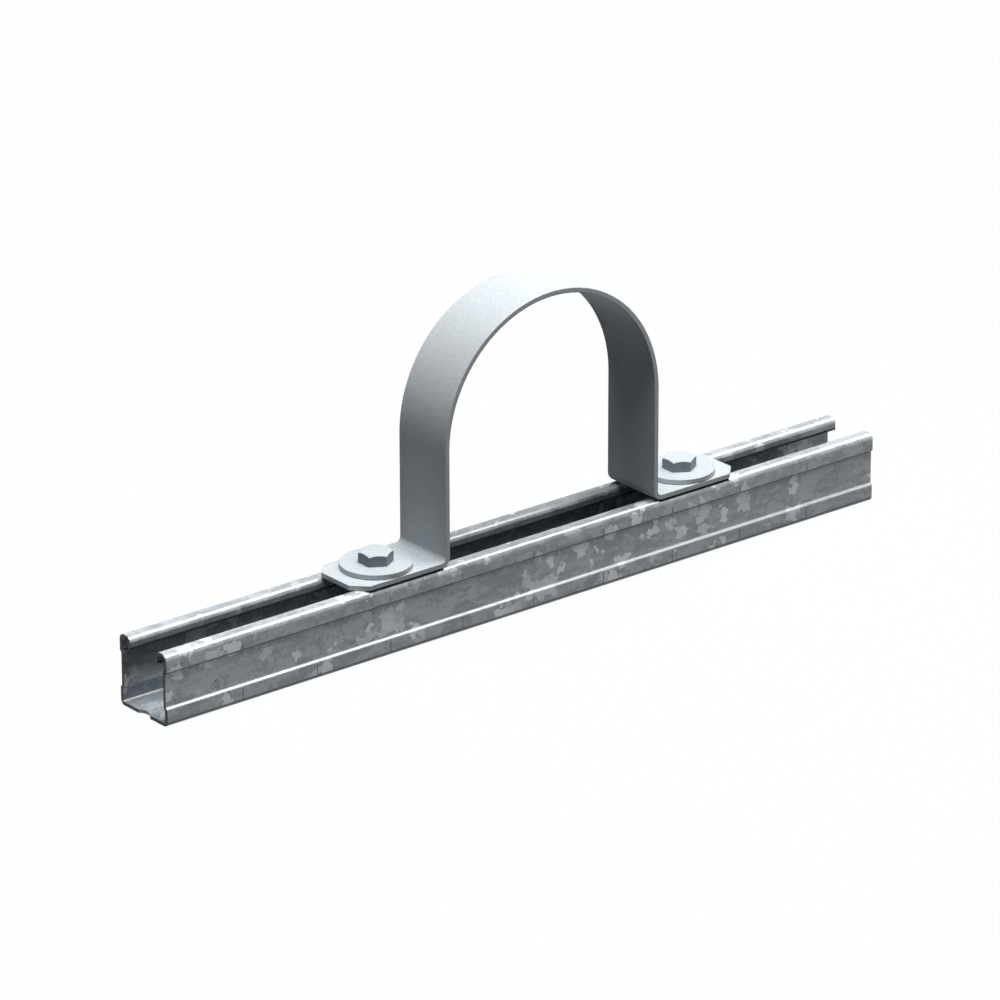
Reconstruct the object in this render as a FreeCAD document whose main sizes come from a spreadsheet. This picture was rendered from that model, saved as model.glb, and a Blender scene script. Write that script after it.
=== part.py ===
import FreeCAD, Part
import math
import os
import re
import Sketcher
from FreeCAD import Vector

# A flat steel pipe strap bolted across the open slot of a cold-rolled strut channel.
# Millimetres. X runs along the channel, Y across it, Z up from the channel's underside.
# The origin is the middle of the channel's underside.

doc = FreeCAD.newDocument("PipeStrap")

# Driving dimensions
sizes = [
    ("channelLength", 500.0, "channel, between its end cuts"),
    ("channelWidth", 41.3, "channel, outside width"),
    ("channelHeight", 41.3, "channel, outside height"),
    ("sheetThick", 2.0, "sheet the channel is rolled from"),
    ("slotWidth", 22.3, "opening between the two lips"),
    ("lipDepth", 7.5, "from the top of the channel to the lip's edge"),
    ("rollRadius", 3.75, "outside radius of the rolled lips"),
    ("cornerRadius", 3.0, "outside radius where the walls meet the web"),
    ("bandDepth", 1.2, "how far the middle of each wall is set in"),
    ("bandBottom", 10.75, "height of the lower step of the wall"),
    ("bandTop", 30.8, "height of the upper step of the wall"),
    ("stepRise", 1.2, "height over which a step slopes"),
    ("stepRadius", 0.4, "rounding of a step's bends"),
    ("toothPitch", 2.1, "width and spacing of the notches along a lip's edge"),
    ("toothDepth", 1.0, "depth of a notch"),
    ("holeWidth", 14.0, "slotted holes in the web, across"),
    ("holeLength", 28.0, "slotted holes in the web, end to end"),
    ("holePitch", 50.0, "spacing of the slotted holes"),
    ("holeRest", 2.26, "what the left end cut leaves of the hole it passes through"),
    ("strapWidth", 40.0, "flat bar of the strap, across"),
    ("strapThick", 3.0, "flat bar of the strap, thickness"),
    ("archRadius", 72.5, "inside radius of the arch"),
    ("archHeight", 66.3, "centre of the arch above the channel"),
    ("strapReach", 136.0, "from the strap's middle to the end of a foot"),
    ("footRadius", 3.0, "inside radius of the bend into a foot"),
    ("footCorner", 8.0, "cut-off corners of the feet"),
    ("strapShift", 14.45, "strap's middle from the channel's middle"),
    ("boltSpread", 108.0, "from the strap's middle to a bolt"),
    ("boltHole", 11.0, "round hole in a foot"),
    ("washerSize", 40.0, "washer, outside diameter"),
    ("washerThick", 3.0, "washer, thickness"),
    ("washerHole", 10.5, "washer, hole diameter"),
    ("washerEdge", 0.3, "broken upper edge of the washer's rim"),
    ("threadSize", 10.0, "bolt's thread, outside diameter"),
    ("boltLength", 30.0, "bolt, under its head"),
    ("boltTip", 1.0, "chamfer at the bolt's end"),
    ("headAcross", 17.0, "hexagon head, across the flats"),
    ("headHeight", 6.4, "hexagon head, height"),
    ("headCrown", 16.4, "diameter of the head's flat top, inside its chamfer"),
    ("headSlope", 30.0, "angle of the head's chamfer, degrees"),
    ("nutSpan", 34.0, "channel nut, across the channel"),
    ("nutWidth", 20.0, "channel nut, along the channel"),
    ("nutThick", 9.0, "channel nut, thickness"),
    ("nutRound", 9.0, "radius of the two corners it turns on"),
    ("nutGroove", 2.0, "depth of the grooves that take the lips"),
    ("grooveGap", 0.4, "room beside a lip in its groove"),
    ("threadGap", 0.05, "gap round the bolt in the nut's bore"),
]

sheet = doc.addObject("Spreadsheet::Sheet", "Sizes")
for row, (alias, value, meaning) in enumerate(sizes, start=1):
    sheet.set(f"A{row}", meaning)
    sheet.set(f"B{row}", str(value))
    sheet.setAlias(f"B{row}", alias)
doc.recompute()


def cell(formula):
    """The formula with each size's alias pointed at the sheet."""
    aliases = {entry[0] for entry in sizes}
    return re.sub(r"[A-Za-z]+", lambda word: "Sizes." + word[0] if word[0] in aliases else word[0], formula)


def bind(item, prop, formula):
    item.setExpression(prop, cell(formula))


def number(alias):
    return float(sheet.get(alias))


def newBody(label):
    body = doc.addObject("PartDesign::Body", label)
    body.Label = label
    return body


def builtShape(body):
    """The body's shape in its own frame, before the body is put in its place."""
    return body.Tip.Shape


def originPart(body, role):
    return next(item for item in body.Origin.OriginFeatures if item.Role == role)


def newSketch(body, name, plane, height=None):
    sketch = body.newObject("Sketcher::SketchObject", name)
    sketch.AttachmentSupport = [(originPart(body, plane), "")]
    sketch.MapMode = "FlatFace"
    if height:
        bind(sketch, "AttachmentOffset.Base.z", height)
    return sketch


def pinPoint(sketch, edge, end, x=None, y=None):
    """Hold one point of an edge at its distances from the sketch's origin."""
    drawn = sketch.getPoint(edge, end)
    for kind, place, formula in (("DistanceX", drawn.x, x), ("DistanceY", drawn.y, y)):
        if formula is not None:
            index = sketch.addConstraint(Sketcher.Constraint(kind, -1, 1, edge, end, place))
            bind(sketch, f"Constraints[{index}]", formula)


def addOutline(sketch, corners):
    """A closed outline of straight sides, each corner held at its own two distances."""
    first = sketch.GeometryCount
    count = len(corners)
    spots = []
    for index in range(count):
        turn = 2 * math.pi * index / count
        spots.append(Vector(math.cos(turn), math.sin(turn), 0))
    for index in range(count):
        sketch.addGeometry(Part.LineSegment(spots[index], spots[(index + 1) % count]))
    for index in range(count):
        following = first + (index + 1) % count
        sketch.addConstraint(Sketcher.Constraint("Coincident", first + index, 2, following, 1))
    for index, (x, y) in enumerate(corners):
        pinPoint(sketch, first + index, 1, x, y)


def addCircle(sketch, diameter, x=None):
    index = sketch.addGeometry(Part.Circle(Vector(0, 0, 0), Vector(0, 0, 1), 5.0))
    size = sketch.addConstraint(Sketcher.Constraint("Diameter", index, 10.0))
    bind(sketch, f"Constraints[{size}]", diameter)
    if x is None:
        sketch.addConstraint(Sketcher.Constraint("Coincident", index, 3, -1, 1))
    else:
        pinPoint(sketch, index, 3, x, "0")


def addSlottedHole(sketch, x, width, length):
    """Two straight sides and two half-round ends, along the sketch's X axis."""
    near = f"{x} - ({length} - {width}) / 2"
    far = f"{x} + ({length} - {width}) / 2"
    quarter = math.pi / 2
    farEnd = Part.Circle(Vector(1, 0, 0), Vector(0, 0, 1), 1)
    nearEnd = Part.Circle(Vector(-1, 0, 0), Vector(0, 0, 1), 1)
    sketch.addGeometry(Part.LineSegment(Vector(-1, -1, 0), Vector(1, -1, 0)))
    sketch.addGeometry(Part.ArcOfCircle(farEnd, -quarter, quarter))
    sketch.addGeometry(Part.LineSegment(Vector(1, 1, 0), Vector(-1, 1, 0)))
    sketch.addGeometry(Part.ArcOfCircle(nearEnd, quarter, 3 * quarter))
    for edge in range(4):
        sketch.addConstraint(Sketcher.Constraint("Coincident", edge, 2, (edge + 1) % 4, 1))
    pinPoint(sketch, 0, 1, near, f"-1 * {width} / 2")
    pinPoint(sketch, 0, 2, far, f"-1 * {width} / 2")
    pinPoint(sketch, 2, 1, far, f"{width} / 2")
    pinPoint(sketch, 2, 2, near, f"{width} / 2")
    pinPoint(sketch, 1, 3, x=far)
    pinPoint(sketch, 3, 3, x=near)


def pad(body, name, sketch, length, side="One side", reverse=False):
    feature = body.newObject("PartDesign::Pad", name)
    feature.Profile = sketch
    feature.SideType = side
    feature.Reversed = reverse
    bind(feature, "Length", length)
    doc.recompute()
    return feature


def pocket(body, name, sketch, length, side="One side", reverse=False):
    before = builtShape(body).Volume
    feature = body.newObject("PartDesign::Pocket", name)
    feature.Profile = sketch
    feature.SideType = side
    feature.Reversed = reverse
    bind(feature, "Length", length)
    doc.recompute()
    if not builtShape(body).Volume < before:
        raise RuntimeError(f"{name} cuts nothing")
    return feature


def repeatAlongX(body, name, feature, spacing, count):
    pattern = body.newObject("PartDesign::LinearPattern", name)
    pattern.Originals = [feature]
    pattern.Direction = (originPart(body, "X_Axis"), [""])
    pattern.Mode = "Spacing"
    bind(pattern, "Offset", spacing)
    bind(pattern, "Occurrences", count)
    body.Tip = pattern
    doc.recompute()
    return pattern


def edgesAlong(shape, direction, places):
    """Names of the straight edges that run in a direction through the given places."""
    names = []
    for index, edge in enumerate(shape.Edges, start=1):
        if edge.Curve.TypeId != "Part::GeomLine":
            continue
        if abs(abs(edge.Curve.Direction.dot(direction)) - 1.0) > 1e-6:
            continue
        if any(edge.distToShape(Part.Vertex(place))[0] < 1e-4 for place in places):
            names.append(f"Edge{index}")
    return names


def dressEdges(body, name, kind, edges, prop, size):
    base = body.Tip
    feature = body.newObject(kind, name)
    feature.Base = (base, edges)
    bind(feature, prop, size)
    doc.recompute()
    return feature


# Strut channel: one section of rolled sheet, with notched lips and slotted holes in its web
channel = newBody("strut_channel")

half = "channelWidth / 2"
# a step's sheet keeps its thickness if the inner corners shift by this much
shift = "sheetThick * tan(atan(bandDepth / stepRise) / 2)"
bends = {
    "LipRolls": "rollRadius",
    "LipRollsInside": "rollRadius - sheetThick",
    "WebCorners": "cornerRadius",
    "WebCornersInside": "cornerRadius - sheetThick",
    "WallSteps": "stepRadius",
}
# each corner's place, and the bend that rounds it
rightSide = [
    (f"{half}", "0", "WebCorners"),
    (f"{half}", "bandBottom - stepRise / 2", "WallSteps"),
    (f"{half} - bandDepth", "bandBottom + stepRise / 2", "WallSteps"),
    (f"{half} - bandDepth", "bandTop - stepRise / 2", "WallSteps"),
    (f"{half}", "bandTop + stepRise / 2", "WallSteps"),
    (f"{half}", "channelHeight", "LipRolls"),
    ("slotWidth / 2", "channelHeight", "LipRolls"),
    ("slotWidth / 2", "channelHeight - lipDepth", None),
    ("slotWidth / 2 + sheetThick", "channelHeight - lipDepth", None),
    ("slotWidth / 2 + sheetThick", "channelHeight - sheetThick", "LipRollsInside"),
    (f"{half} - sheetThick", "channelHeight - sheetThick", "LipRollsInside"),
    (f"{half} - sheetThick", f"bandTop + stepRise / 2 + {shift}", "WallSteps"),
    (f"{half} - sheetThick - bandDepth", f"bandTop - stepRise / 2 + {shift}", "WallSteps"),
    (f"{half} - sheetThick - bandDepth", f"bandBottom + stepRise / 2 - {shift}", "WallSteps"),
    (f"{half} - sheetThick", f"bandBottom - stepRise / 2 - {shift}", "WallSteps"),
    (f"{half} - sheetThick", "sheetThick", "WebCornersInside"),
]
leftSide = [(f"-1 * ({x})", y, bend) for x, y, bend in reversed(rightSide)]
channelCorners = rightSide + leftSide

section = newSketch(channel, "ChannelSection", "YZ_Plane")
addOutline(section, [(x, y) for x, y, bend in channelCorners])
pad(channel, "ChannelBar", section, "channelLength", side="Symmetric")

for name, radius in bends.items():
    places = []
    for line, (x, y, bend) in zip(section.Geometry, channelCorners):
        if bend == name:
            places.append(Vector(0, line.StartPoint.x, line.StartPoint.y))
    bent = edgesAlong(builtShape(channel), Vector(1, 0, 0), places)
    dressEdges(channel, name, "PartDesign::Fillet", bent, "Radius", radius)

# slotted holes in the web; the end cuts pass through one at each end
firstHole = "holeRest - (holeLength + channelLength) / 2"
holeSketch = newSketch(channel, "WebHoleOutline", "XY_Plane")
addSlottedHole(holeSketch, firstHole, "holeWidth", "holeLength")
hole = pocket(channel, "WebHole", holeSketch, "2 * sheetThick", reverse=True)
repeatAlongX(channel, "WebHoles", hole, "holePitch",
             "floor((channelLength - holeRest + holeLength) / holePitch) + 1")

# the lips' lower edges are notched like a saw from end to end
notchSketch = newSketch(channel, "LipNotchOutline", "XZ_Plane")
firstNotch = "(toothPitch - channelLength) / 2"
addOutline(notchSketch, [
    (f"{firstNotch} - toothPitch / 2", "channelHeight - lipDepth"),
    (f"{firstNotch} + toothPitch / 2", "channelHeight - lipDepth"),
    (firstNotch, "channelHeight - lipDepth + toothDepth"),
])
notch = pocket(channel, "LipNotch", notchSketch, "slotWidth + 4 * sheetThick", side="Symmetric")
repeatAlongX(channel, "LipNotches", notch, "toothPitch", "floor(channelLength / toothPitch)")

# Strap: flat bar bent into a half-round arch on straight legs, with a foot turned out each side
strap = newBody("pipe_strap")
bind(strap, "Placement.Base.x", "strapShift")
bind(strap, "Placement.Base.z", "channelHeight")

archSketch = newSketch(strap, "BarSection", "XY_Plane", height="archHeight")
addOutline(archSketch, [
    ("archRadius", "-1 * strapWidth / 2"),
    ("archRadius + strapThick", "-1 * strapWidth / 2"),
    ("archRadius + strapThick", "strapWidth / 2"),
    ("archRadius", "strapWidth / 2"),
])
arch = strap.newObject("PartDesign::Revolution", "Arch")
arch.Profile = archSketch
arch.ReferenceAxis = (archSketch, ["V_Axis"])
arch.Angle = 180
arch.Reversed = True
doc.recompute()

# each corner's place, and what shapes it
rightLeg = [
    ("archRadius", "0", "FootBends"),
    ("strapReach", "0", "FootCorners"),
    ("strapReach", "strapThick", None),
    ("archRadius + strapThick", "strapThick", "FootBendsInside"),
    ("archRadius + strapThick", "archHeight", None),
    ("archRadius", "archHeight", None),
]
leftLeg = [(f"-1 * ({x})", y, shaping) for x, y, shaping in reversed(rightLeg)]
legCorners = rightLeg + leftLeg
legSketch = newSketch(strap, "LegOutline", "XZ_Plane")
addOutline(legSketch, [(x, y) for x, y, shaping in rightLeg])
addOutline(legSketch, [(x, y) for x, y, shaping in leftLeg])
pad(strap, "LegsAndFeet", legSketch, "strapWidth", side="Symmetric")


def legPlaces(name, across):
    """Where the corners of the leg outline with this shaping are, at a distance across the bar."""
    places = []
    for line, (x, y, shaping) in zip(legSketch.Geometry, legCorners):
        if shaping == name:
            places.append(Vector(line.StartPoint.x, across, line.StartPoint.y))
    return places


for name, radius in (("FootBends", "footRadius + strapThick"), ("FootBendsInside", "footRadius")):
    bent = edgesAlong(builtShape(strap), Vector(0, 1, 0), legPlaces(name, 0))
    dressEdges(strap, name, "PartDesign::Fillet", bent, "Radius", radius)

barSide = number("strapWidth") / 2
footEnds = legPlaces("FootCorners", barSide) + legPlaces("FootCorners", -barSide)
footEdges = edgesAlong(builtShape(strap), Vector(0, 0, 1), footEnds)
dressEdges(strap, "FootCorners", "PartDesign::Chamfer", footEdges, "Size", "footCorner")

boltHoles = newSketch(strap, "BoltHoleOutline", "XY_Plane")
addCircle(boltHoles, "boltHole", x="boltSpread")
addCircle(boltHoles, "boltHole", x="-1 * boltSpread")
pocket(strap, "BoltHoles", boltHoles, "2 * strapThick", reverse=True)


def roundEdges(shape, radius, height):
    """Names of the round edges of one radius at one height."""
    names = []
    for index, edge in enumerate(shape.Edges, start=1):
        if edge.Curve.TypeId == "Part::GeomCircle" and abs(edge.Curve.Radius - radius) < 1e-6:
            if abs(edge.Curve.Center.z - height) < 1e-6:
                names.append(f"Edge{index}")
    return names


def makeWasher(label, boltPlace):
    """A thick round washer lying on a foot of the strap."""
    body = newBody(label)
    bind(body, "Placement.Base.x", boltPlace)
    bind(body, "Placement.Base.z", "channelHeight + strapThick")
    rim = newSketch(body, label + "_outline", "XY_Plane")
    addCircle(rim, "washerSize")
    addCircle(rim, "washerHole")
    pad(body, label + "_disc", rim, "washerThick")
    edges = roundEdges(builtShape(body), number("washerSize") / 2, number("washerThick"))
    dressEdges(body, label + "_edge", "PartDesign::Chamfer", edges, "Size", "washerEdge")
    return body


def makeBolt(label, boltPlace):
    """A hexagon head bolt standing on its washer, two flats facing along the channel."""
    body = newBody(label)
    bind(body, "Placement.Base.x", boltPlace)
    bind(body, "Placement.Base.z", "channelHeight + strapThick + washerThick")
    hexagon = newSketch(body, label + "_hexagon", "XY_Plane")
    corner = "headAcross / sqrt(3)"
    addOutline(hexagon, [
        ("headAcross / 2", f"-1 * {corner} / 2"),
        ("headAcross / 2", f"{corner} / 2"),
        ("0", corner),
        ("-1 * headAcross / 2", f"{corner} / 2"),
        ("-1 * headAcross / 2", f"-1 * {corner} / 2"),
        ("0", f"-1 * {corner}"),
    ])
    pad(body, label + "_head", hexagon, "headHeight")
    # the head's corners are turned off by a cone
    crown = newSketch(body, label + "_crown", "XZ_Plane")
    addOutline(crown, [
        ("headCrown / 2", "headHeight"),
        ("headAcross", "headHeight - (headAcross - headCrown / 2) * tan(headSlope)"),
        ("headAcross", "headHeight"),
    ])
    before = builtShape(body).Volume
    cone = body.newObject("PartDesign::Groove", label + "_cone")
    cone.Profile = crown
    cone.ReferenceAxis = (crown, ["V_Axis"])
    cone.Angle = 360
    doc.recompute()
    if not builtShape(body).Volume < before:
        raise RuntimeError("the head's chamfer cuts nothing")
    shank = newSketch(body, label + "_shank_outline", "XY_Plane")
    addCircle(shank, "threadSize")
    pad(body, label + "_shank", shank, "boltLength", reverse=True)
    tip = roundEdges(builtShape(body), number("threadSize") / 2, -number("boltLength"))
    dressEdges(body, label + "_tip", "PartDesign::Chamfer", tip, "Size", "boltTip")
    return body


def makeNut(label, boltPlace):
    """A channel nut under the lips, which sit in its two grooves. Two corners are rounded, so that
    it goes in through the slot lengthways and turns."""
    body = newBody(label)
    bind(body, "Placement.Base.x", boltPlace)
    bind(body, "Placement.Base.z", "channelHeight - lipDepth + nutGroove - nutThick")
    block = newSketch(body, label + "_outline", "XY_Plane")
    halfWide = "nutWidth / 2"
    halfSpan = "nutSpan / 2"
    addOutline(block, [
        (f"-1 * {halfWide}", f"-1 * {halfSpan}"),
        (halfWide, f"-1 * {halfSpan}"),
        (halfWide, halfSpan),
        (f"-1 * {halfWide}", halfSpan),
    ])
    pad(body, label + "_block", block, "nutThick")
    turning = []
    for side in block.Geometry[1::2]:
        turning.append(Vector(side.StartPoint.x, side.StartPoint.y, 0))
    turningEdges = edgesAlong(builtShape(body), Vector(0, 0, 1), turning)
    dressEdges(body, label + "_turning", "PartDesign::Fillet", turningEdges, "Radius", "nutRound")
    grooves = newSketch(body, label + "_groove_outline", "XY_Plane", height="nutThick")
    inner = "slotWidth / 2 - grooveGap"
    outer = "slotWidth / 2 + sheetThick + grooveGap"
    for side in ("1", "-1"):
        addOutline(grooves, [
            ("-1 * nutWidth", f"{side} * ({inner})"),
            ("nutWidth", f"{side} * ({inner})"),
            ("nutWidth", f"{side} * ({outer})"),
            ("-1 * nutWidth", f"{side} * ({outer})"),
        ])
    pocket(body, label + "_grooves", grooves, "nutGroove")
    bore = newSketch(body, label + "_bore_outline", "XY_Plane")
    addCircle(bore, "threadSize + 2 * threadGap")
    pocket(body, label + "_bore", bore, "nutThick", reverse=True)
    return body


# One washer, bolt and nut at each foot
parts = [channel, strap]
for side, boltPlace in (("left", "strapShift - boltSpread"), ("right", "strapShift + boltSpread")):
    parts.append(makeWasher("washer_" + side, boltPlace))
    parts.append(makeBolt("hex_bolt_" + side, boltPlace))
    parts.append(makeNut("channel_nut_" + side, boltPlace))

doc.recompute()
for item in doc.Objects:
    if "Invalid" in item.State or "Error" in item.State:
        raise RuntimeError(f"{item.Name} failed: {item.State}")

shapes = {body.Label: body.Shape for body in parts}
for label, shape in shapes.items():
    if shape.isNull() or not shape.isValid() or len(shape.Solids) != 1:
        raise RuntimeError(f"{label} isn't one sound solid")

os.makedirs("parts", exist_ok=True)
for label, shape in shapes.items():
    shape.exportStep(f"parts/{label}.step")
    print(f"{label}: {shape.Volume:.1f} mm3, {shape.BoundBox}")
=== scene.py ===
import bmesh
import bpy
import math
import numpy as np
from mathutils import Matrix, Vector


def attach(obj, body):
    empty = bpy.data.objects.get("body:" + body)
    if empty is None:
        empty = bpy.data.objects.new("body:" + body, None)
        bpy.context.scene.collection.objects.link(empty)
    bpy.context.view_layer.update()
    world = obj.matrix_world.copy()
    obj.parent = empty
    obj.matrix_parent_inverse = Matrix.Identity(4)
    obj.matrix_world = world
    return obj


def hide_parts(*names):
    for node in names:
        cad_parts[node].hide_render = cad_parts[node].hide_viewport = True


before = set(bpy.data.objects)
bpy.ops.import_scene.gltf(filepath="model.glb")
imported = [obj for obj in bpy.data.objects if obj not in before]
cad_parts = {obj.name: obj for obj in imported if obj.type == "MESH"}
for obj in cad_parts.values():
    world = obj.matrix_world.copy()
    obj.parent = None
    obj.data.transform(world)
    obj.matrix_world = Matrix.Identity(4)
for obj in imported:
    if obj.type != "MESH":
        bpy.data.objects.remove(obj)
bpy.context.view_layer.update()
print("frame loaded:", ", ".join(sorted(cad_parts)))


def hexColour(code):
    # sRGB hex to linear: c/12.92 below 0.04045, else ((c+0.055)/1.055)^2.4
    srgb = np.array([int(code[i:i + 2], 16) for i in (1, 3, 5)]) / 255
    linear = np.where(srgb <= 0.04045, srgb / 12.92, ((srgb + 0.055) / 1.055) ** 2.4)
    return (*[float(c) for c in linear], 1.0)


# Meshes: everything is worked out in millimetres and scaled once here
def makePiece(name, points, faces, material, nodes, smoothBelow=27):
    mesh = bpy.data.meshes.new(name)
    mesh.from_pydata((np.asarray(points) * 0.001).tolist(), [], [list(map(int, face)) for face in faces])
    work = bmesh.new()
    work.from_mesh(mesh)
    bmesh.ops.remove_doubles(work, verts=work.verts, dist=2e-7)  # closes seams and poles
    loose = [vert for vert in work.verts if not vert.link_faces]
    bmesh.ops.delete(work, geom=loose, context="VERTS")
    bmesh.ops.recalc_face_normals(work, faces=work.faces)
    work.to_mesh(mesh)
    work.free()
    mesh.polygons.foreach_set("use_smooth", np.ones(len(mesh.polygons), bool))
    mesh.set_sharp_from_angle(angle=math.radians(smoothBelow))
    mesh.materials.append(material)
    piece = bpy.data.objects.new(name, mesh)
    bpy.context.scene.collection.objects.link(piece)
    even = piece.modifiers.new("evenNormals", "WEIGHTED_NORMAL")  # large flats stay flat beside bends
    even.keep_sharp = True
    even.weight = 100
    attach(piece, "root")
    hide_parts(*nodes)
    print(name, len(mesh.vertices), "points")
    return piece


far = 1e3  # an open end of a range


def giveFaces(piece, material, middle=0.0, **ranges):
    # another material on the faces whose measures all lie inside the ranges given. Of a face's normal,
    # up is z, along is |x| and out is y away from y = 0. Of its centre in mm, x is counted from middle and
    # y from 0, either way, and z upwards
    mesh = piece.data
    if material.name not in mesh.materials:
        mesh.materials.append(material)
    normal, centre = (np.zeros(len(mesh.polygons) * 3) for _ in range(2))
    mesh.polygons.foreach_get("normal", normal)
    mesh.polygons.foreach_get("center", centre)
    normal, centre = normal.reshape(-1, 3), centre.reshape(-1, 3) * 1000
    measures = {
        "up": normal[:, 2], "along": np.abs(normal[:, 0]), "out": normal[:, 1] * np.sign(centre[:, 1]),
        "x": np.abs(centre[:, 0] - middle), "y": np.abs(centre[:, 1]), "z": centre[:, 2],
    }
    chosen = np.ones(len(mesh.polygons), bool)
    for key, (low, high) in ranges.items():
        chosen &= (measures[key] > low) & (measures[key] < high)
    index = np.zeros(len(mesh.polygons), np.int32)
    mesh.polygons.foreach_get("material_index", index)
    index[chosen] = mesh.materials.find(material.name)
    mesh.polygons.foreach_set("material_index", index)


def gridFaces(rows, columns):
    # quads between row r and r+1, column c and c+1; each row runs back to its first column
    r, c = np.meshgrid(np.arange(rows - 1), np.arange(columns), indexing="ij")
    after = (c + 1) % columns
    quads = [r * columns + c, r * columns + after, (r + 1) * columns + after, (r + 1) * columns + c]
    return np.stack(quads, -1).reshape(-1, 4)


def addPart(points, faces, newPoints, newFaces):
    # joins one more grid's points and faces to a piece's lists
    start = sum(len(chunk) for chunk in points)
    points.append(newPoints)
    faces.extend([np.asarray(face) + start for face in newFaces])


def unit(vectors):
    return vectors / np.linalg.norm(vectors, axis=-1, keepdims=True)


def roundedOutline(corners, radii, steps):
    # each corner becomes an arc round corner + bisector * r / sin(half angle), swept between its tangent
    # points by (sin((1 - t) * turn) * first + sin(t * turn) * last) / sin(turn)
    corners = np.asarray(corners, float)
    back = unit(np.roll(corners, 1, 0) - corners)
    ahead = unit(np.roll(corners, -1, 0) - corners)
    arcs = []
    for corner, a, b, radius, count in zip(corners, back, ahead, radii, steps):
        if radius == 0:
            arcs.append(corner[None])
            continue
        half = math.acos(float(a @ b)) / 2
        centre = corner + unit(a + b) * radius / math.sin(half)
        first = corner + a * radius / math.tan(half) - centre
        last = corner + b * radius / math.tan(half) - centre
        turn = math.pi - 2 * half
        t = np.linspace(0, 1, count + 1)[:, None]
        arcs.append(centre + (np.sin((1 - t) * turn) * first + np.sin(t * turn) * last) / math.sin(turn))
    return np.concatenate(arcs)


def holeHalfWidth(x, centres, straight, radius):
    # half the width of a slotted hole at x: sqrt(r^2 - max(|x - c| - straight, 0)^2), 0 outside every hole
    reach = np.abs(x[:, None] - np.asarray(centres)[None, :]).min(1) - straight
    return np.sqrt(np.clip(radius ** 2 - np.clip(reach, 0, None) ** 2, 0, None))


# Materials
def addNode(tree, kind, settings=None, **sockets):
    # a socket goes by its name, with _ for a space, or by its number after an n
    node = tree.nodes.new("ShaderNode" + kind)
    for key, value in (settings or {}).items():
        setattr(node, key, value)
    for key, value in sockets.items():
        numbered = key[0] == "n" and key[1:].isdigit()
        socket = node.inputs[int(key[1:]) if numbered else key.replace("_", " ")]
        if isinstance(value, bpy.types.NodeSocket):
            tree.links.new(value, socket)
        else:
            socket.default_value = value
    return node


def startMaterial(name):
    material = bpy.data.materials.new(name)
    material.use_nodes = True
    tree = material.node_tree
    tree.nodes.clear()
    return material, tree


def ramp(tree, value, stops):
    node = addNode(tree, "ValToRGB", n0=value)
    elements = node.color_ramp.elements
    while len(elements) < len(stops):
        elements.new(1.0)
    for element, (place, colour) in zip(elements, stops):
        element.position = place
        element.color = hexColour(colour)
    return node.outputs[0]


galvanised = {
    "shade": "#8f979e", "base": "#a0a8ae", "plate": "#b1b8be",   # the plain surface, dark to light
    "patch": "#d3d9dd", "bright": "#e6eaed",                     # the crystals that catch the light
    "paintedShade": "#5a6166",     # painted shade on down-turned bends and on the inside
    "paintedHighlight": "#f4f6f8",     # painted highlight on the rolls' shoulders, the lower steps and the web's inner corners
    "plateMm": 13.0,         # wide crystals that differ only a little
    "crystalMm": 7.5,        # the crystals that catch the light
    "shardMm": 4.2,          # straight-sided splinters along a crystal's edge
    "shiftMm": 3.6,          # how far a splinter is thrown from its crystal
    "groupMm": 45.0,         # bright crystals lie in groups about this wide
    "patchOdds": (1.255, 1.26),   # plain below the first, a bright crystal above the second
    "streakMm": 4.0, "streakAngle": 40.0, "streakShare": 0.25,   # streaks left by the zinc as it ran off
    "mottleMm": 3.2,         # faint clouds in the plain surface
    "speckMm": 0.9,          # finer than this in truth; drawn as coarse as it needs to show
    "dot": "#4a5054", "dotCellMm": 16.0, "dotRadius": 0.035,     # dross; the radius is a share of the cell
    "metallic": 0.14, "specular": 0.5, "roughness": 0.17, "roughSpread": 0.06,
    # length marks: pitch and half width, middle and half height on two bands, and the wall they lie outside
    "mark": "#5f6467", "markPitch": 50.0, "markHalf": 0.3,
    "upperMark": (33.5, 1.8), "lowerMark": (6.0, 3.2), "markWallY": -20.3,
}


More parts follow.
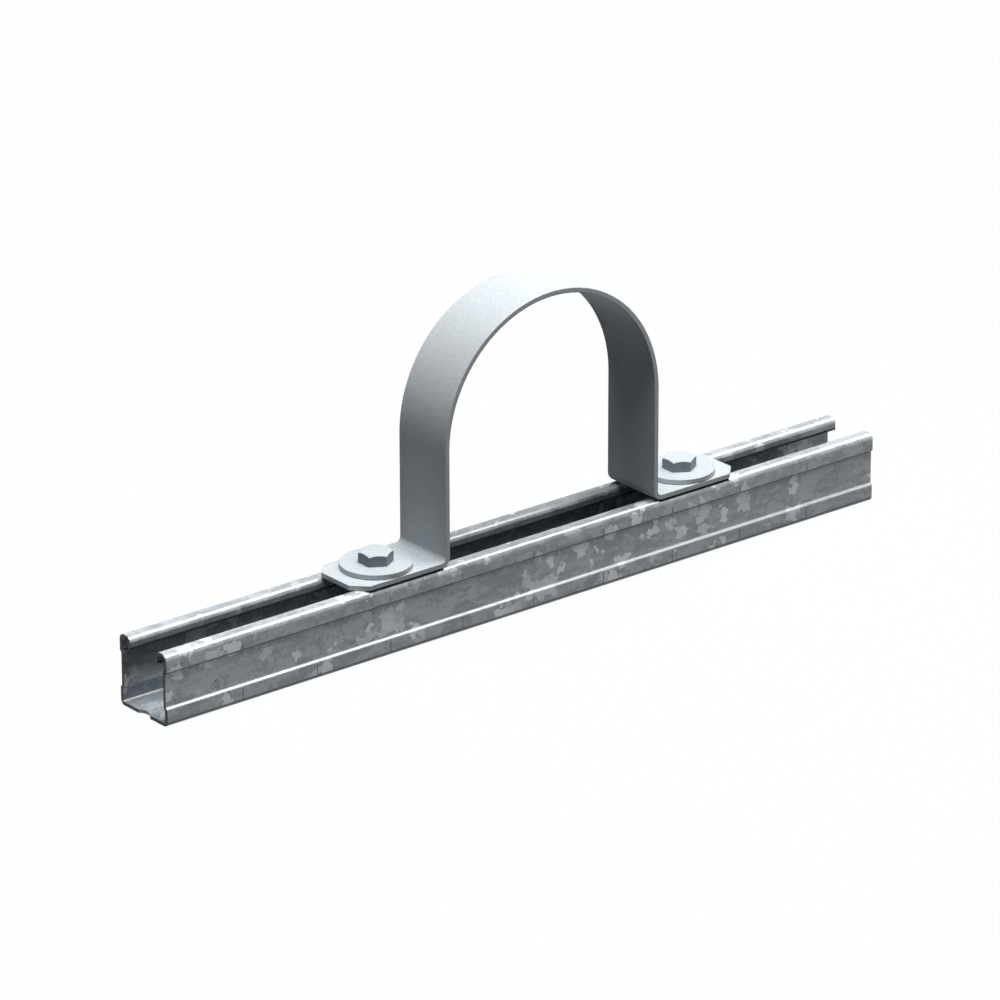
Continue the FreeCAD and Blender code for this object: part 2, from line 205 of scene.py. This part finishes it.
def galvanisedSheet(name, g, tint="paintedShade", share=0.0):
    # hot-dip galvanised sheet: zinc freezes in flat crystals, so scattered patches with splintered edges
    # show lighter on an even grey, and the surface between them is faintly mottled and speckled; share of
    # the tint, a painted shade or a painted highlight, is mixed over it
    material, tree = startMaterial(name)
    place = addNode(tree, "TexCoord").outputs["Object"]
    shards = addNode(tree, "TexVoronoi", Vector=place, Scale=1000 / g["shardMm"])
    thrown = (g["shiftMm"] / 1000,) * 3
    broken = addNode(tree, "VectorMath", {"operation": "MULTIPLY_ADD"},
                     n0=shards.outputs["Color"], n1=thrown, n2=place)
    crystals = addNode(tree, "TexVoronoi", Vector=broken.outputs[0], Scale=1000 / g["crystalMm"])
    plates = addNode(tree, "TexVoronoi", Vector=broken.outputs[0], Scale=1000 / g["plateMm"])
    chance = addNode(tree, "SeparateColor", n0=crystals.outputs["Color"])
    plateTone = addNode(tree, "SeparateColor", n0=plates.outputs["Color"])
    shardTone = addNode(tree, "SeparateColor", n0=shards.outputs["Color"])
    groups = addNode(tree, "TexNoise", Vector=place, Scale=1000 / g["groupMm"], Detail=1.0)
    mottle = addNode(tree, "TexNoise", Vector=place, Scale=1000 / g["mottleMm"], Detail=4.0, Roughness=0.6)
    specks = addNode(tree, "TexNoise", Vector=place, Scale=1000 / g["speckMm"], Detail=2.0, Roughness=0.7)
    # streaks slant across the walls and are longer than they are wide
    slanted = addNode(tree, "Mapping", Vector=place, Rotation=(0, math.radians(g["streakAngle"]), 0),
                      Scale=(g["streakShare"], 1, 1))
    streaks = addNode(tree, "TexNoise", Vector=slanted.outputs[0], Scale=1000 / g["streakMm"], Detail=3.0)
    # a crystal is a bright patch where its chance and the wide groups add up to enough
    odds = addNode(tree, "Math", {"operation": "MULTIPLY_ADD"},
                   n0=groups.outputs["Fac"], n1=0.8, n2=chance.outputs[0])
    patch = addNode(tree, "MapRange", n0=odds.outputs[0], n1=g["patchOdds"][0], n2=g["patchOdds"][1])
    # plain surface: specks, clouds, streaks and plates add up to a tone, which is about 0.95 at the base
    grain = addNode(tree, "Math", {"operation": "MULTIPLY_ADD"},
                    n0=specks.outputs["Fac"], n1=0.7, n2=-0.35)
    cloud = addNode(tree, "Math", {"operation": "MULTIPLY_ADD"},
                    n0=mottle.outputs["Fac"], n1=0.7, n2=grain.outputs[0])
    streaked = addNode(tree, "Math", {"operation": "MULTIPLY_ADD"},
                       n0=streaks.outputs["Fac"], n1=0.9, n2=cloud.outputs[0])
    tone = addNode(tree, "Math", {"operation": "MULTIPLY_ADD"},
                   n0=plateTone.outputs[1], n1=0.3, n2=streaked.outputs[0])
    plain = ramp(tree, tone.outputs[0], ((0.65, g["shade"]), (0.95, g["base"]), (1.25, g["plate"])))
    # a patch is one flat tone, a little lighter or darker from splinter to splinter
    shine = addNode(tree, "Math", {"operation": "MULTIPLY_ADD"},
                    n0=shardTone.outputs[1], n1=0.3, n2=chance.outputs[2])
    lit = ramp(tree, shine.outputs[0], ((0.05, g["plate"]), (0.5, g["patch"]), (1.2, g["bright"])))
    metal = addNode(tree, "Mix", {"data_type": "RGBA"}, n0=patch.outputs[0], n6=plain, n7=lit)
    # a few dark dots of dross, in those cells of a wide grid whose middle lies on the surface
    drops = addNode(tree, "TexVoronoi", Vector=place, Scale=1000 / g["dotCellMm"])
    drop = addNode(tree, "Math", {"operation": "LESS_THAN"}, n0=drops.outputs["Distance"], n1=g["dotRadius"])
    dotted = addNode(tree, "Mix", {"data_type": "RGBA"},
                     n0=drop.outputs[0], n6=metal.outputs[2], n7=hexColour(g["dot"]))
    # length marks: fine dark strokes stamped across the two outer bands of the near wall
    axes = addNode(tree, "SeparateXYZ", n0=place)
    fromMark = addNode(tree, "Math", {"operation": "PINGPONG"},
                       n0=axes.outputs[0], n1=g["markPitch"] / 2000)
    onMark = addNode(tree, "Math", {"operation": "COMPARE"},
                     n0=fromMark.outputs[0], n1=0.0, n2=g["markHalf"] / 1000)
    upper, lower = (addNode(tree, "Math", {"operation": "COMPARE"},
                            n0=axes.outputs[2], n1=g[key][0] / 1000, n2=g[key][1] / 1000)
                    for key in ("upperMark", "lowerMark"))
    near = addNode(tree, "Math", {"operation": "LESS_THAN"}, n0=axes.outputs[1], n1=g["markWallY"] / 1000)
    band = addNode(tree, "Math", {"operation": "ADD"}, n0=upper.outputs[0], n1=lower.outputs[0])
    banded = addNode(tree, "Math", {"operation": "MULTIPLY"}, n0=band.outputs[0], n1=near.outputs[0])
    mark = addNode(tree, "Math", {"operation": "MULTIPLY"}, n0=onMark.outputs[0], n1=banded.outputs[0])
    marked = addNode(tree, "Mix", {"data_type": "RGBA"},
                     n0=mark.outputs[0], n6=dotted.outputs[2], n7=hexColour(g["mark"]))
    # painted shade or painted highlight: a share of the tint over the sheet's own colour
    colour = addNode(tree, "Mix", {"data_type": "RGBA"},
                     n0=share, n6=marked.outputs[2], n7=hexColour(g[tint]))
    rough = addNode(tree, "MapRange", n0=tone.outputs[0], n1=0.55, n2=1.35,
                    n3=g["roughness"] + g["roughSpread"], n4=g["roughness"] - g["roughSpread"])
    relief = addNode(tree, "Math", {"operation": "MULTIPLY_ADD"},
                     n0=patch.outputs[0], n1=0.3, n2=tone.outputs[0])
    bump = addNode(tree, "Bump", Strength=0.3, Distance=0.00010, Height=relief.outputs[0])
    shader = addNode(tree, "BsdfPrincipled", Metallic=g["metallic"], Base_Color=colour.outputs[2],
                     Roughness=rough.outputs[0], Specular_IOR_Level=g["specular"], Normal=bump.outputs[0])
    addNode(tree, "OutputMaterial", Surface=shader.outputs[0])
    return material


zincFinish = {
    "grainMm": 1.0,        # finer than this in truth; drawn as coarse as it needs to show
    "cloudMm": 18.0,       # slow changes of tone and gloss
    "metallic": 0.03, "specular": 0.08,
    # darker and lighter colour of the grain, roughness and depth of the grain
    "bar": ("#b3babf", "#c8cfd4", 0.48, 0.16),
    "washer": ("#b1b8bd", "#c4cbd0", 0.46, 0.14),
    "bolt": ("#b4bbc0", "#c1c8cd", 0.42, 0.12),
    # painted shade: a darker copy for the hexagon's side faces
    "flats": ("#7a8187", "#888f95", 0.42, 0.12),
    # painted light: a lighter copy for the washers' rims
    "rim": ("#b8bfc5", "#c6cdd3", 0.45, 0.14),
    "cut": ("#a4acb1", "#b5bdc2", 0.50, 0.20),
    # dark saw burr on the end cuts, and painted shade on the teeth, in the wedges under the feet and on lower
    # rounded edges
    "burrAndShade": ("#33383b", "#464c50", 0.50, 0.20),
    "nut": ("#a2a9ad", "#b2b9bd", 0.42, 0.20),
}


def zincPlated(name, finish, z):
    # zinc plate on rolled and pressed steel: satin, even grey with a fine grain of the steel under it
    dark, light, roughness, depth = z[finish]
    material, tree = startMaterial(name)
    place = addNode(tree, "TexCoord").outputs["Object"]
    fine = addNode(tree, "TexNoise", Vector=place, Scale=1000 / z["grainMm"], Detail=2.0, Roughness=0.7)
    cloud = addNode(tree, "TexNoise", Vector=place, Scale=1000 / z["cloudMm"], Detail=3.0, Roughness=0.5)
    faint = addNode(tree, "Math", {"operation": "MULTIPLY"}, n0=cloud.outputs["Fac"], n1=0.1)
    mixed = addNode(tree, "Math", {"operation": "MULTIPLY_ADD"},
                    n0=fine.outputs["Fac"], n1=0.9, n2=faint.outputs[0])
    colour = ramp(tree, mixed.outputs[0], ((0.36, dark), (0.64, light)))
    rough = addNode(tree, "MapRange", n0=cloud.outputs["Fac"], n1=0.3, n2=0.7,
                    n3=roughness - 0.04, n4=roughness + 0.04)
    bump = addNode(tree, "Bump", Strength=depth, Distance=0.00008, Height=fine.outputs["Fac"])
    shader = addNode(tree, "BsdfPrincipled", Metallic=z["metallic"], Base_Color=colour,
                     Roughness=rough.outputs[0], Specular_IOR_Level=z["specular"], Normal=bump.outputs[0])
    addNode(tree, "OutputMaterial", Surface=shader.outputs[0])
    return material


sheetMaterial = galvanisedSheet("hot_dip_galvanised_sheet", galvanised)
# painted shade and painted highlight: copies of the sheet with a share of a dark or a light tint
paintedShadeMaterial = galvanisedSheet("galvanised_sheet_painted_shade", galvanised, "paintedShade", 0.85)
# painted shade inside the channel
insideShadeMaterial = galvanisedSheet("galvanised_sheet_inside_painted_shade", galvanised, "paintedShade", 0.4)
# painted highlight on bends that face the lamps
paintedHighlightMaterial = galvanisedSheet("galvanised_sheet_painted_highlight", galvanised, "paintedHighlight", 0.45)
barMaterial = zincPlated("satin_zinc_plated_bar", "bar", zincFinish)
plateMaterial = zincPlated("satin_zinc_plated_washer", "washer", zincFinish)
boltMaterial = zincPlated("zinc_plated_forged_bolt", "bolt", zincFinish)
flatsShadeMaterial = zincPlated("zinc_plated_flats_painted_shade", "flats", zincFinish)  # painted shade: the hexagon's sides darker than its top
# painted light: the washers' rims a little lighter than their faces
rimLightMaterial = zincPlated("zinc_plated_rim_painted_light", "rim", zincFinish)
cutMaterial = zincPlated("sawn_steel_end", "cut", zincFinish)
burrAndShadeMaterial = zincPlated("dark_burr_and_painted_shade", "burrAndShade", zincFinish)  # saw burrs on the end cuts, and painted shade on the teeth and on edges under things
nutMaterial = zincPlated("zinc_plated_pressed_nut", "nut", zincFinish)
print("materials made")

# Strut channel
channelPlan = {
    "length": 500.0, "halfWidth": 20.65, "height": 41.3, "sheet": 2.0,
    "halfSlot": 11.15, "lipEdge": 33.8, "rollRadius": 3.75, "cornerRadius": 3.0,
    "bandDepth": 1.2, "bandBottom": 10.75, "bandTop": 30.8, "stepRise": 1.2,
    "stepRadius": 0.4, "lowStepRadius": 1.0,
    "toothPitch": 2.1, "toothDepth": 1.4, "aboveTeeth": 0.35,   # a row of points just above the teeth
    "holeWidth": 14.0, "holeLength": 28.0, "holePitch": 50.0, "firstHole": -261.74, "holes": 11,
    "burrAndShade": 0.35,                                                # how wide the saw's burr is on an end cut
}
# the faces that don't look like plain sheet, in the order in which they are given
channelFinish = [
    (paintedShadeMaterial, {"up": (-far, -0.15), "z": (-far, 33.5)}),                       # down-turned bends, painted shade
    (burrAndShadeMaterial, {"along": (0.9, far), "x": (249.9, far)}),                         # burr of the end cuts
    (insideShadeMaterial, {"out": (-far, -0.5), "z": (3.1, 33.5)}),                        # walls inside, painted shade
    (insideShadeMaterial, {"out": (-far, -0.5), "z": (3.1, far), "y": (-far, 11.3)}),      # lips' sides, in shade
    (burrAndShadeMaterial, {"along": (-far, 0.9), "y": (-far, 13.3), "z": (33.5, 35.5)}),     # teeth, painted shade
    (paintedHighlightMaterial, {"up": (0.55, 0.93), "z": (37.5, far)}),                         # shoulders of the rolls, painted highlight
    (paintedHighlightMaterial, {"up": (0.3, far), "y": (19, far), "z": (9, 13)}),               # lower steps, painted highlight
    (paintedHighlightMaterial, {"up": (0.1, 0.95), "y": (-far, 18.8), "z": (1.99, 3.1)}),       # web's corners inside, painted highlight
]


def channelHalfOutline(c):
    # half of the section, from the middle of the web's underside, round the lip, to the middle of its
    # upper side
    t, half, top, slot, edge = c["sheet"], c["halfWidth"], c["height"], c["halfSlot"], c["lipEdge"]
    low, high, rise, deep = c["bandBottom"], c["bandTop"], c["stepRise"] / 2, c["bandDepth"]
    # a step inside lies t * tan(half the step's angle) from the same step outside
    shift = t * math.tan(math.atan(deep / (2 * rise)) / 2)
    above = edge + c["toothDepth"] + c["aboveTeeth"]
    corners = [
        (0, 0), (half, 0), (half, low - rise), (half - deep, low + rise), (half - deep, high - rise),
        (half, high + rise), (half, top), (slot, top), (slot, above), (slot, edge), (slot + t, edge),
        (slot + t, above), (slot + t, top - t), (half - t, top - t), (half - t, high + rise + shift),
        (half - t - deep, high - rise + shift), (half - t - deep, low + rise - shift),
        (half - t, low - rise - shift), (half - t, t), (0, t),
    ]
    step, lowStep, roll, inner = c["stepRadius"], c["lowStepRadius"], c["rollRadius"], c["rollRadius"] - t
    radii = [0, c["cornerRadius"], lowStep, lowStep, step, step, roll, roll, 0, 0, 0, 0, inner, inner,
             step, step, step, step, c["cornerRadius"] - t, 0]
    steps = [0, 5, 3, 3, 1, 1, 7, 7, 0, 0, 0, 0, 4, 4, 1, 1, 1, 1, 4, 0]
    return roundedOutline(corners, radii, steps)


def buildChannel(c):
    # the half outline is one row of a grid, set at every x where a tooth or a hole needs points
    halfLength = c["length"] / 2
    toothX = np.append(np.arange(-halfLength, halfLength, c["toothPitch"] / 2), halfLength)
    centres = c["firstHole"] + c["holePitch"] * np.arange(c["holes"])
    radius = c["holeWidth"] / 2
    straight = c["holeLength"] / 2 - radius
    bend = straight + radius * np.sin(np.linspace(0, math.pi / 2, 8))
    holeX = (centres[:, None] + np.concatenate([-bend, bend])[None, :]).ravel()
    holeX = holeX[np.abs(holeX) < halfLength]
    x = np.unique(np.round(np.concatenate([toothX, holeX]), 3))
    outline = channelHalfOutline(c)
    count = len(outline)
    y = np.repeat(outline[None, :, 0], len(x), 0)
    z = np.repeat(outline[None, :, 1], len(x), 0)
    # the web parts round each hole: its middle points move out to the hole's half width
    opening = holeHalfWidth(x, centres, straight, radius)
    y[:, 0] = opening
    y[:, -1] = opening
    # the lip's edge is a saw, depth * (1 - |2 * fraction of the pitch - 1|), and the last bit stays uncut
    phase = np.mod((x + halfLength) / c["toothPitch"], 1.0)
    saw = c["toothDepth"] * (1 - np.abs(2 * phase - 1))
    saw[x > toothX[-2] + 1e-6] = 0
    saw[np.abs(saw) < 0.01] = 0
    tip = np.where(np.abs(outline[:, 1] - c["lipEdge"]) < 1e-6)[0]
    z[:, tip] += saw[:, None]
    right = np.stack([np.repeat(x[:, None], count, 1), y, z], -1)
    quads = gridFaces(len(x), count).reshape(len(x) - 1, count, 4)
    keep = np.ones((len(x) - 1, count), bool)
    keep[(opening[:-1] + opening[1:]) < 1e-6, -1] = False  # between the holes the web's halves meet
    # each end cut is a dark burr along the outline and a lighter face inside it: the outline moves in by
    # burr * (a + b) / (1 + a.b), a and b the inward normals of the edges before and after a point
    points, faces = [], []
    for row in (0, len(x) - 1):
        loop = right[row, :, 1:]
        edge = unit(np.roll(loop, -1, 0) - loop)
        inward = np.stack([-edge[:, 1], edge[:, 0]], -1)
        before = np.roll(inward, 1, 0)
        inner = loop + c["burrAndShade"] * (before + inward) / (1 + (before * inward).sum(-1, keepdims=True))
        inner[[0, -1], 0] = np.maximum(loop[[0, -1], 0], 0)
        rim = np.concatenate([np.full((2 * count, 1), x[row]), np.concatenate([loop, inner])], -1)
        for side in (1, -1):
            addPart(points, faces, rim * (1, side, 1),
                    list(gridFaces(2, count)) + [np.arange(count, 2 * count)])
    for side in (1, -1):
        addPart(points, faces, right.reshape(-1, 3) * (1, side, 1), list(quads[keep]))
    return makePiece("rolled_strut_channel", np.concatenate(points), faces, sheetMaterial,
                     ["strut_channel"])


channelPiece = buildChannel(channelPlan)
for material, ranges in channelFinish:
    giveFaces(channelPiece, material, **ranges)

# Strap
strapPlan = {
    "width": 40.0, "thick": 3.0, "archRadius": 72.5, "archHeight": 66.3, "reach": 136.0,
    "bendRadius": 3.0, "cornerCut": 8.0, "middleX": 14.45, "seatZ": 41.3,
    "boltSpread": 108.0, "boltHole": 11.0, "edge": 0.35,
}
# painted shadow in the wedge between a foot's underside and the shoulder of the roll that it lies on, which
# no light reaches
giveFaces(channelPiece, burrAndShadeMaterial, strapPlan["middleX"],
          up=(0.5, far), x=(77.0, 128.0), y=(16.9, 20.0), z=(38, far))
# the largest faces are those inside the end cuts, two halves at each end
endFaces = sorted(channelPiece.data.polygons, key=lambda face: len(face.vertices))[-4:]
channelPiece.data.materials.append(cutMaterial)
for face in endFaces:
    face.material_index = channelPiece.data.materials.find(cutMaterial.name)


def strapLine(s):
    # underside of the bar from the top of the arch to a foot's end, with the normal towards its upper side
    arc = np.linspace(math.pi / 2, 0, 49)
    outer = s["bendRadius"] + s["thick"]
    bend = np.linspace(math.pi, 1.5 * math.pi, 11)
    hole = s["boltHole"] / 2 * np.sin(np.linspace(-math.pi / 2, math.pi / 2, 25))
    rim = s["edge"] * (1 - np.sin(np.linspace(0, math.pi / 2, 5)))
    footX = np.concatenate([s["boltSpread"] + hole, [s["reach"] - s["cornerCut"]], s["reach"] - rim])
    arch = np.stack([s["archRadius"] * np.cos(arc), s["archHeight"] + s["archRadius"] * np.sin(arc)], -1)
    turn = np.stack([s["archRadius"] + outer + outer * np.cos(bend), outer + outer * np.sin(bend)], -1)
    foot = np.stack([footX, np.zeros_like(footX)], -1)
    line = np.concatenate([arch, turn, foot])
    normal = np.concatenate([
        np.stack([np.cos(arc), np.sin(arc)], -1), -np.stack([np.cos(bend), np.sin(bend)], -1),
        np.tile([0.0, 1.0], (len(footX), 1)),
    ])
    onFoot = np.arange(len(line)) >= len(arc) + len(bend)
    return line, normal, onFoot


def buildStrap(s):
    line, normal, onFoot = strapLine(s)
    toEnd = np.where(onFoot, s["reach"] - line[:, 0], 1e3)
    # rounded end: inset = r * (1 - sqrt(1 - (1 - d/r)^2)) within one edge radius of the end
    near = np.clip(1 - toEnd / s["edge"], 0, 1)
    inset = s["edge"] * (1 - np.sqrt(1 - near ** 2))
    wide = s["width"] / 2 - np.clip(s["cornerCut"] - toEnd, 0, None) - inset
    opening = np.where(onFoot, holeHalfWidth(line[:, 0], [s["boltSpread"]], 0.0, s["boltHole"] / 2), 0.0)
    # half of the bar's section: middle, lower edge, upper edge, middle
    phi = np.linspace(0, math.pi / 2, 5)
    across = np.concatenate([[0.0], s["edge"] * np.sin(phi), s["edge"] * np.cos(phi), [0.0]])
    up = np.concatenate([[0.0], s["edge"] * (1 - np.cos(phi)),
                         s["thick"] - s["edge"] * (1 - np.sin(phi)), [s["thick"]]])
    y = wide[:, None] - s["edge"] + across[None, :]
    y[:, 0] = opening
    y[:, -1] = opening
    t = inset[:, None] + up[None, :] * (1 - 2 * inset[:, None] / s["thick"])
    place = line[:, None, :] + normal[:, None, :] * t[:, :, None]
    quarter = np.stack([place[..., 0], y, place[..., 1]], -1)
    rows, count = y.shape
    quads = gridFaces(rows, count).reshape(rows - 1, count, 4)
    keep = np.ones((rows - 1, count), bool)
    keep[(opening[:-1] + opening[1:]) < 1e-6, -1] = False
    end = np.arange(count) + (rows - 1) * count
    points, faces = [], []
    for sideX in (1, -1):
        for sideY in (1, -1):
            addPart(points, faces, quarter.reshape(-1, 3) * (sideX, sideY, 1), list(quads[keep]) + [end])
    points = np.concatenate(points) + (s["middleX"], 0, s["seatZ"])
    piece = makePiece("bent_bar_strap", points, faces, barMaterial, ["pipe_strap"])
    # painted shadow on the feet's lower rounded edges, where they lie on the channel
    giveFaces(piece, burrAndShadeMaterial, up=(-0.95, -0.2), z=(-far, 41.9))


buildStrap(strapPlan)

# Washers and bolts
washerPlan = {
    "radius": 20.0, "thick": 3.0, "hole": 5.25, "edge": 0.3, "holeEdges": (0.15, 0.2), "z": 44.3,
}
boltPlan = {
    "flats": 17.0, "height": 6.4, "crown": 16.4, "slope": 30.0, "z": 47.3,
    "thread": 10.0, "pitch": 1.5, "length": 30.0, "tip": 1.0, "threadStep": 0.25,
}


def lathe(radius, z, angles):
    # points at (radius, z) turned round the Z axis; the radius may differ by angle
    return np.stack([radius * np.cos(angles), radius * np.sin(angles), z * np.ones_like(angles)], -1)


def buildWasher(name, node, x, w):
    angles = np.linspace(0, 2 * math.pi, 144, endpoint=False)[None, :]
    corners = [(w["hole"], 0), (w["radius"], 0), (w["radius"], w["thick"]), (w["hole"], w["thick"])]
    below, above = w["holeEdges"]
    loop = roundedOutline(corners, (below, w["edge"], w["edge"], above), (3, 3, 4, 3))
    loop = np.concatenate([loop, loop[:1]])
    points = lathe(loop[:, :1], loop[:, 1:], angles).reshape(-1, 3) + (x, 0, w["z"])
    faces = gridFaces(len(loop), angles.size)
    piece = makePiece(name, points, faces, plateMaterial, [node])
    # painted light on the rim
    giveFaces(piece, rimLightMaterial, up=(-0.3, 0.3))
    # painted shade on the lower rounded edges
    giveFaces(piece, burrAndShadeMaterial, up=(-0.95, -0.2))


def buildBolt(name, node, x, b):
    # hexagon radius by angle: half the flats / cos(angle from the nearest flat), corners slightly turned off
    corner = np.arange(30, 360, 60)[:, None] + [-1.6, -0.8, 0, 0.8, 1.6]
    degrees = np.unique(np.concatenate([np.arange(0, 360, 7.5), corner.ravel()]))
    angles = np.radians(degrees)[None, :]
    fromFlat = np.abs(np.mod(degrees + 30, 60) - 30)
    flat = b["flats"] / 2
    hexagon = np.minimum(flat / np.cos(np.radians(fromFlat)), flat / math.cos(math.radians(29.0)))[None, :]
    crown, top = b["crown"] / 2, b["height"]
    slope = math.tan(math.radians(b["slope"]))
    one = np.ones_like(hexagon)
    # the head as (radius, z) from the middle of its top to the shank; the hundredths soften its edges
    rows = [
        (0 * one, top), (0.5 * crown * one, top), ((crown - 0.25) * one, top),
        ((crown - 0.08) * one, top - 0.02), ((crown + 0.05) * one, top - 0.06),
        (hexagon - 0.16, top - (hexagon - crown - 0.16) * slope),
        (hexagon - 0.05, top - (hexagon - crown - 0.05) * slope - 0.02),
        (hexagon, top - (hexagon - crown) * slope - 0.12),
        (hexagon, 0.25), (hexagon - 0.06, 0.06), (hexagon - 0.25, 0), (b["thread"] / 2 * one, 0),
    ]
    radius = np.concatenate([row[0] for row in rows])
    z = np.concatenate([row[1] * one for row in rows])
    # thread: radius between root and crest by a trapezoid of the phase z / pitch - angle / turn, fading in
    # under the head and cut back to a chamfer at the tip
    threadZ = -np.arange(b["threadStep"], b["length"] + 0.01, b["threadStep"])[:, None]
    phase = np.mod(threadZ / b["pitch"] - angles / (2 * math.pi), 1.0)
    crest, depth = b["thread"] / 2, 0.61 * b["pitch"]
    wave = np.clip(2.6 * np.abs(phase - 0.5) - 0.15, 0, 1)
    fade = np.clip((-threadZ - 0.5) / 2.0, 0, 1)
    threadR = np.minimum(crest - depth * wave * fade, crest - b["tip"] + (b["length"] + threadZ))
    points = lathe(np.concatenate([radius, threadR, 0 * one]),
                   np.concatenate([z, threadZ * one, -b["length"] * one]), angles)
    faces = gridFaces(len(points), angles.size)
    points = points.reshape(-1, 3) + (x, 0, b["z"])
    piece = makePiece(name, points, faces, boltMaterial, [node], 32)
    # painted shade on the hexagon's side faces
    giveFaces(piece, flatsShadeMaterial, up=(-0.3, 0.3), z=(b["z"], far))
    # painted shade on the head's lower rounded edge
    giveFaces(piece, burrAndShadeMaterial, up=(-0.95, -0.2), z=(b["z"], far))


for side, turn in (("left", -1), ("right", 1)):
    boltX = strapPlan["middleX"] + turn * strapPlan["boltSpread"]
    buildWasher("thick_washer_" + side, "washer_" + side, boltX, washerPlan)
    buildBolt("hexagon_bolt_" + side, "hex_bolt_" + side, boltX, boltPlan)

# the channel nuts are plain pressed blocks inside the channel, so the solids stay
for side in ("left", "right"):
    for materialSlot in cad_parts["channel_nut_" + side].material_slots:
        materialSlot.material = nutMaterial
print("pieces made")

# Camera, from a least-squares fit of the channel and strap in the photograph
cameraPlan = {
    "place": (-2.122786, -2.594780, 1.417529), "azimuth": -39.1949, "elevation": 22.0630, "roll": -0.12309,
    "focal": 6603.051,  # pixels in a 1000 pixel frame
    "sensor": 36, "clipEnd": 50,
}


def makeCamera(c):
    a, e, r = (math.radians(c[key]) for key in ("azimuth", "elevation", "roll"))
    back = Vector((math.sin(a) * math.cos(e), -math.cos(a) * math.cos(e), math.sin(e)))
    right = Vector((math.cos(a), math.sin(a), 0))
    up = back.cross(right)
    rightTurned = right * math.cos(r) + up * math.sin(r)
    upTurned = up * math.cos(r) - right * math.sin(r)
    data = bpy.data.cameras.new("photographCamera")
    data.sensor_width = c["sensor"]
    data.sensor_height = c["sensor"]
    data.sensor_fit = "AUTO"
    data.lens = c["focal"] / 1000 * c["sensor"]
    data.clip_end = c["clipEnd"]
    camera = bpy.data.objects.new("photographCamera", data)
    turned = Matrix((rightTurned, upTurned, back)).transposed().to_4x4()
    camera.matrix_world = Matrix.Translation(c["place"]) @ turned
    bpy.context.scene.collection.objects.link(camera)
    bpy.context.scene.camera = camera


makeCamera(cameraPlan)

# Floor, world and lamps
stagePlan = {
    "floorHalf": 12.0, "floorGrey": "#2a2a2a", "floorGlow": 0.96, "worldFill": 0.03,
    "lampColour": (1.0, 0.99, 0.98), "lampAim": (0.0, 0.0, 0.06),
    # direction of each lamp, distance, size and radiance
    "overheadSoftBox": ((0.02, -0.06, 1.0), 2.5, (1.58, 1.58), 12.5),
    "rightSoftBox": ((0.60, -0.26, 0.76), 4.0, (3.84, 0.72), 7.8),
}


def whiteForCamera(tree):
    # 1 for rays from the camera and for mirror and glass rays, else 0
    path = addNode(tree, "LightPath")
    seen = addNode(tree, "Math", {"operation": "MAXIMUM"},
                   n0=path.outputs["Is Camera Ray"], n1=path.outputs["Is Glossy Ray"])
    through = addNode(tree, "Math", {"operation": "MAXIMUM"},
                      n0=seen.outputs[0], n1=path.outputs["Is Transmission Ray"])
    return through.outputs[0]


def makeFloor(s):
    # matt floor, dark to light bounced off the object and almost white to the camera
    material, tree = startMaterial("matt_white_floor")
    matt = addNode(tree, "BsdfDiffuse", Color=hexColour(s["floorGrey"]))
    lift = addNode(tree, "Math", {"operation": "MULTIPLY"}, n0=whiteForCamera(tree), n1=s["floorGlow"])
    glow = addNode(tree, "Emission", Color=(1, 1, 1, 1), Strength=lift.outputs[0])
    both = addNode(tree, "AddShader", n0=matt.outputs[0], n1=glow.outputs[0])
    addNode(tree, "OutputMaterial", Surface=both.outputs[0])
    half = s["floorHalf"]
    corners = [(-half, -half, 0), (half, -half, 0), (half, half, 0), (-half, half, 0)]
    mesh = bpy.data.meshes.new("floor")
    mesh.from_pydata(corners, [], [(0, 1, 2, 3)])
    mesh.materials.append(material)
    floor = bpy.data.objects.new("floor", mesh)
    bpy.context.scene.collection.objects.link(floor)


def makeWorld(s):
    world = bpy.data.worlds.new("studioWhite")
    bpy.context.scene.world = world
    world.use_nodes = True
    tree = world.node_tree
    tree.nodes.clear()
    strength = addNode(tree, "MapRange", n0=whiteForCamera(tree), n1=0.0, n2=1.0, n3=s["worldFill"], n4=1.0)
    light = addNode(tree, "Background", Color=(1, 1, 1, 1), Strength=strength.outputs[0])
    addNode(tree, "OutputWorld", Surface=light.outputs[0])


def makeLamp(name, s):
    # an area lamp's radiance is power / (pi * area)
    towards, distance, size, radiance = s[name]
    data = bpy.data.lights.new(name, "AREA")
    data.shape = "RECTANGLE"
    data.size, data.size_y = size
    data.energy = radiance * math.pi * size[0] * size[1]
    data.color = s["lampColour"]
    lamp = bpy.data.objects.new(name, data)
    direction = Vector(towards).normalized()
    lamp.location = Vector(s["lampAim"]) + direction * distance
    lamp.rotation_euler = direction.to_track_quat("Z", "Y").to_euler()
    lamp.visible_camera = False
    bpy.context.scene.collection.objects.link(lamp)


makeFloor(stagePlan)
makeWorld(stagePlan)
makeLamp("overheadSoftBox", stagePlan)
makeLamp("rightSoftBox", stagePlan)
bpy.context.scene.view_settings.view_transform = "Standard"
print("camera, floor and lamps made")
